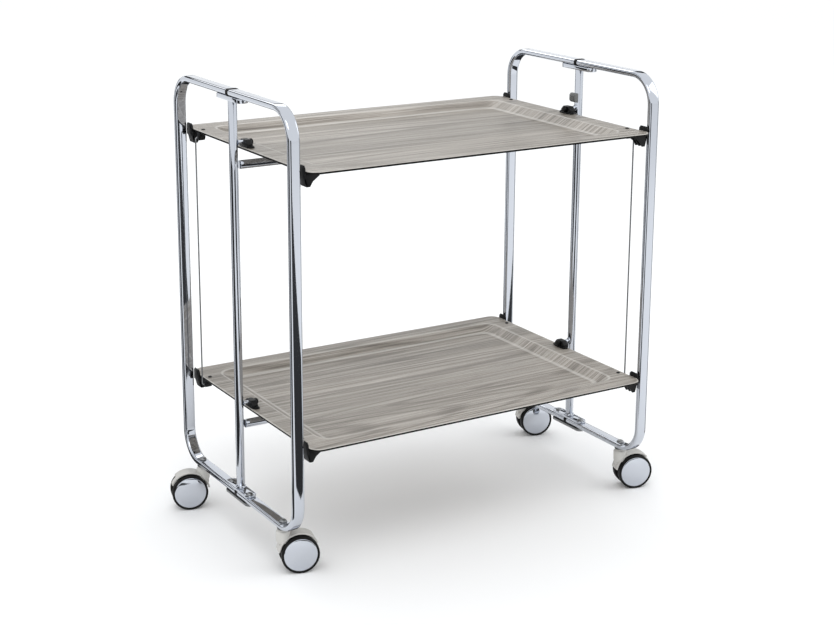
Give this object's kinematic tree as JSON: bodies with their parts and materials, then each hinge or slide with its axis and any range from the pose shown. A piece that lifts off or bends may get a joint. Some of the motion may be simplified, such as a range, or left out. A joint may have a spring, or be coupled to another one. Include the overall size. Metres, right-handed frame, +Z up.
{
  "type": "food service trolley",
  "caption": "Two-tier serving trolley with chromed tubular end frames, dished wood-grain trays that tilt up together, link rods, a sliding latch and swivelling twin-wheel casters",
  "frame": {"origin": "on the floor, under the middle of the outer box", "axes": "+X along the trays to the right, +Y across them to the back, +Z up"},
  "size_m": [0.7882, 0.454, 0.75],
  "materials": {
    "chrome": "bright chromed steel tube",
    "dark_steel": "dull zinc-plated steel",
    "black_plastic": "black moulded plastic, fine satin grain",
    "grey_plastic": "light grey moulded plastic",
    "laminate": "moulded laminate with a grey-taupe oak grain, satin",
    "wheel": "black tread, bright domed outer face"
  },
  "bodies": {
    "frame": {"left_front_half_frame": "chrome", "left_front_top_pin": "dark_steel", "left_front_bottom_pin": "dark_steel", "left_back_half_frame": "chrome", "left_back_top_pin": "dark_steel", "left_back_bottom_pin": "dark_steel", "left_top_cap": "black_plastic", "left_top_plate": "chrome", "left_bottom_cap": "black_plastic", "left_bottom_plate": "chrome", "left_clamp_plate": "dark_steel", "left_post": "chrome", "right_front_half_frame": "chrome", "right_front_top_pin": "dark_steel", "right_front_bottom_pin": "dark_steel", "right_back_half_frame": "chrome", "right_back_top_pin": "dark_steel", "right_back_bottom_pin": "dark_steel", "right_top_cap": "black_plastic", "right_top_plate": "chrome", "right_bottom_cap": "black_plastic", "right_bottom_plate": "chrome", "right_clamp_plate": "dark_steel", "right_post": "chrome"},
    "upper_tray_body": {"upper_cross_bar": "chrome", "upper_tray": "laminate", "upper_left_saddle": "black_plastic", "upper_left_rim_block": "black_plastic", "upper_left_rod_clip": "black_plastic", "upper_left_front_gusset": "black_plastic", "upper_left_back_gusset": "black_plastic", "upper_right_saddle": "black_plastic", "upper_right_rim_block": "black_plastic", "upper_right_rod_clip": "black_plastic", "upper_right_front_gusset": "black_plastic", "upper_right_back_gusset": "black_plastic"},
    "lower_tray_body": {"lower_cross_bar": "chrome", "lower_tray": "laminate", "lower_left_saddle": "black_plastic", "lower_left_rim_block": "black_plastic", "lower_left_rod_clip": "black_plastic", "lower_left_front_gusset": "black_plastic", "lower_left_back_gusset": "black_plastic", "lower_right_saddle": "black_plastic", "lower_right_rim_block": "black_plastic", "lower_right_rod_clip": "black_plastic", "lower_right_front_gusset": "black_plastic", "lower_right_back_gusset": "black_plastic"},
    "latch_body": {"latch": "grey_plastic"},
    "left_rod_body": {"left_link_rod": "dark_steel"},
    "right_rod_body": {"right_link_rod": "dark_steel"},
    "left_front_caster_body": {"left_front_caster": "grey_plastic"},
    "left_front_wheels_body": {"left_front_wheels": "wheel"},
    "left_back_caster_body": {"left_back_caster": "grey_plastic"},
    "left_back_wheels_body": {"left_back_wheels": "wheel"},
    "right_front_caster_body": {"right_front_caster": "grey_plastic"},
    "right_front_wheels_body": {"right_front_wheels": "wheel"},
    "right_back_caster_body": {"right_back_caster": "grey_plastic"},
    "right_back_wheels_body": {"right_back_wheels": "wheel"}
  },
  "joints": [
    {"name": "tray_tilt", "type": "hinge", "parent": "frame", "child": "upper_tray_body", "pos_m": [0, 0, 0.665], "axis": [-1, 0, 0], "range_deg": [0, 80]},
    {"name": "lower_tray_tilt", "type": "hinge", "parent": "frame", "child": "lower_tray_body", "pos_m": [0, 0, 0.233], "axis": [-1, 0, 0], "range_deg": [0, 80]},
    {"name": "left_rod_swing", "type": "hinge", "parent": "upper_tray_body", "child": "left_rod_body", "pos_m": [-0.3239, 0.172, 0.644], "axis": [-1, 0, 0], "range_deg": [-80, 0]},
    {"name": "right_rod_swing", "type": "hinge", "parent": "upper_tray_body", "child": "right_rod_body", "pos_m": [0.3239, -0.172, 0.644], "axis": [-1, 0, 0], "range_deg": [-80, 0]},
    {"name": "latch_slide", "type": "slide", "parent": "frame", "child": "latch_body", "axis": [0, 0, 1], "range_m": [0, 0.008]},
    {"name": "left_front_swivel", "type": "hinge", "parent": "frame", "child": "left_front_caster_body", "pos_m": [-0.336, -0.152, 0.065], "axis": [0, 0, 1], "continuous": true},
    {"name": "left_front_wheel_spin", "type": "hinge", "parent": "left_front_caster_body", "child": "left_front_wheels_body", "pos_m": [-0.31197, -0.15889, 0.03085], "axis": [0.2756, 0.9613, 0], "continuous": true},
    {"name": "left_back_swivel", "type": "hinge", "parent": "frame", "child": "left_back_caster_body", "pos_m": [-0.336, 0.152, 0.065], "axis": [0, 0, 1], "continuous": true},
    {"name": "left_back_wheel_spin", "type": "hinge", "parent": "left_back_caster_body", "child": "left_back_wheels_body", "pos_m": [-0.36003, 0.15889, 0.03085], "axis": [-0.2756, -0.9613, 0], "continuous": true},
    {"name": "right_front_swivel", "type": "hinge", "parent": "frame", "child": "right_front_caster_body", "pos_m": [0.336, -0.152, 0.065], "axis": [0, 0, 1], "continuous": true},
    {"name": "right_front_wheel_spin", "type": "hinge", "parent": "right_front_caster_body", "child": "right_front_wheels_body", "pos_m": [0.36003, -0.15889, 0.03085], "axis": [0.2756, 0.9613, 0], "continuous": true},
    {"name": "right_back_swivel", "type": "hinge", "parent": "frame", "child": "right_back_caster_body", "pos_m": [0.336, 0.152, 0.065], "axis": [0, 0, 1], "continuous": true},
    {"name": "right_back_wheel_spin", "type": "hinge", "parent": "right_back_caster_body", "child": "right_back_wheels_body", "pos_m": [0.36003, 0.14511, 0.03085], "axis": [0.2756, 0.9613, 0], "continuous": true}
  ],
  "couplings": [
    {"joint": "lower_tray_tilt", "follows": "tray_tilt", "ratio": 1},
    {"joint": "left_rod_swing", "follows": "tray_tilt", "ratio": -1},
    {"joint": "right_rod_swing", "follows": "tray_tilt", "ratio": -1}
  ]
}
